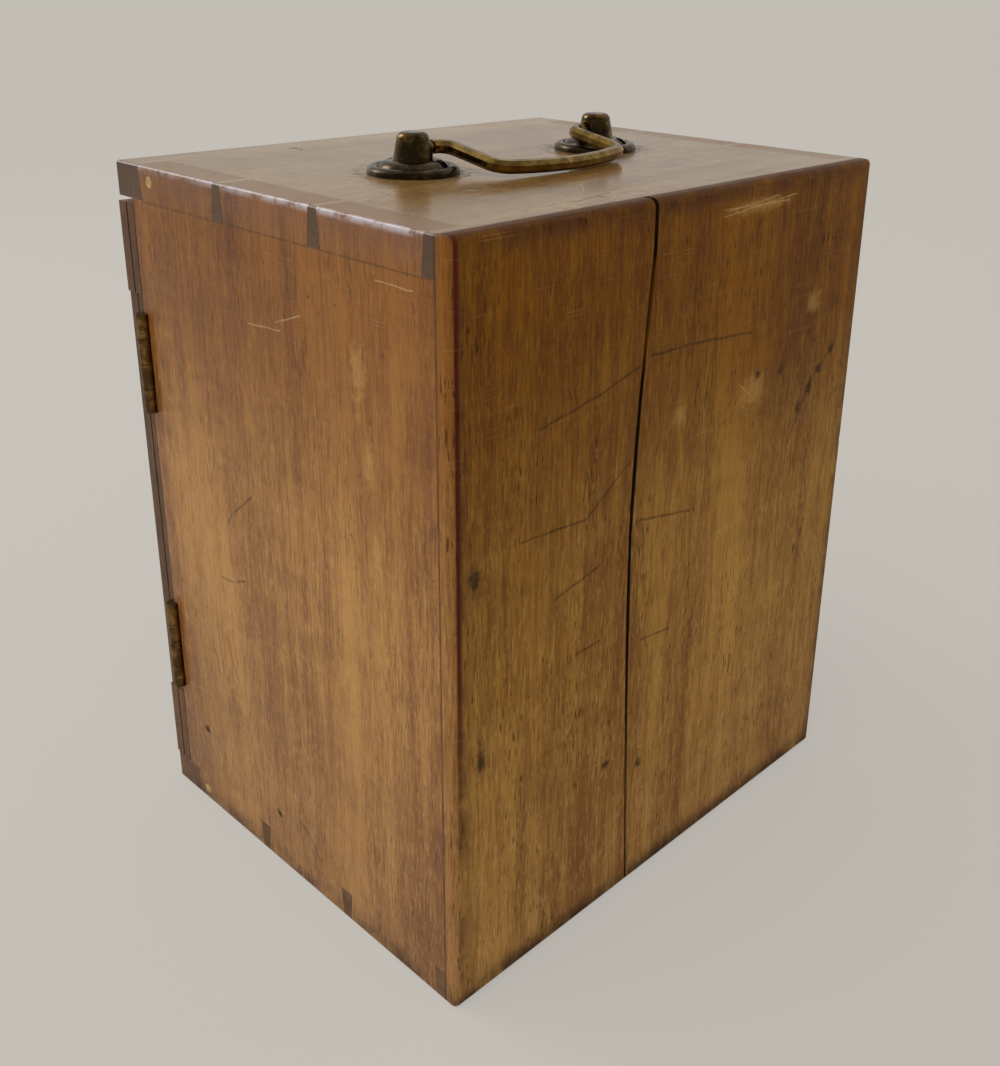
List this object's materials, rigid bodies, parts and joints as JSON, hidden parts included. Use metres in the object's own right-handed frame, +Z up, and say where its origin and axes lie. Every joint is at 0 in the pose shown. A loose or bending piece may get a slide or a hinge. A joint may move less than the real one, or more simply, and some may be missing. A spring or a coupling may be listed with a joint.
{
  "type": "magic lantern carrying case",
  "caption": "Dovetailed mahogany carrying case for a magic lantern, with a cleated door on brass butt hinges, a lock and a brass drop handle on top.",
  "frame": {"origin": "middle of the underside of the box, on the surface it stands on", "axes": "+Z up, -Y out of the door, +X towards the hinge side"},
  "size_m": [0.2508, 0.2046, 0.3158],
  "materials": {
    "top_wood": "polished mahogany, long grain",
    "bottom_wood": "polished mahogany, long grain",
    "side_wood": "polished mahogany, upright grain",
    "back_wood": "worn polished mahogany, upright grain",
    "door_panel_wood": "polished mahogany, upright grain",
    "door_cleat_wood": "polished mahogany, cross grain",
    "hinge_brass": "aged brass",
    "hinge_pin_brass": "aged brass",
    "screw_brass": "aged brass",
    "nail_brass": "worn brass",
    "rose_bronze": "dark patinated brass",
    "post_brass": "patinated brass, worn golden",
    "bail_brass": "patinated brass, worn golden",
    "lock_brass": "dull brass",
    "bolt_brass": "worn brass",
    "escutcheon_brass": "worn brass"
  },
  "bodies": {
    "case": {"top_board": "top_wood", "bottom_board": "bottom_wood", "hinge_side_board": "side_wood", "lock_side_board": "side_wood", "back_board_wide_piece": "back_wood", "back_board_narrow_piece": "back_wood", "dovetail_nails": "nail_brass", "upper_hinge_case_leaf": "hinge_brass", "upper_hinge_pin": "hinge_pin_brass", "lower_hinge_case_leaf": "hinge_brass", "lower_hinge_pin": "hinge_pin_brass", "hinge_case_screws": "screw_brass", "near_handle_rose": "rose_bronze", "far_handle_rose": "rose_bronze", "near_handle_post": "post_brass", "far_handle_post": "post_brass", "handle_rose_screws": "screw_brass", "lock_keeper": "lock_brass", "keeper_screws": "screw_brass"},
    "door": {"door_panel": "door_panel_wood", "door_top_cleat": "door_cleat_wood", "door_bottom_cleat": "door_cleat_wood", "upper_hinge_door_leaf": "hinge_brass", "lower_hinge_door_leaf": "hinge_brass", "hinge_door_screws": "screw_brass", "lock_plate": "lock_brass", "lock_cap": "lock_brass", "lock_screws": "screw_brass", "keyhole_escutcheon": "escutcheon_brass"},
    "lock_bolt": {"lock_bolt": "bolt_brass"},
    "handle_bail": {"handle_bail": "bail_brass"}
  },
  "joints": [
    {"name": "door_hinge", "type": "hinge", "parent": "case", "child": "door", "pos_m": [0.1245, -0.0903, 0.15], "axis": [0, 0, 1], "range_deg": [0, 180]},
    {"name": "bail_swing", "type": "hinge", "parent": "case", "child": "handle_bail", "pos_m": [0, 0.002, 0.3092], "axis": [1, 0, 0], "range_deg": [0, 199]},
    {"name": "bolt_slide", "type": "slide", "parent": "door", "child": "lock_bolt", "axis": [-1, 0, 0], "range_m": [0, 0.006]}
  ]
}
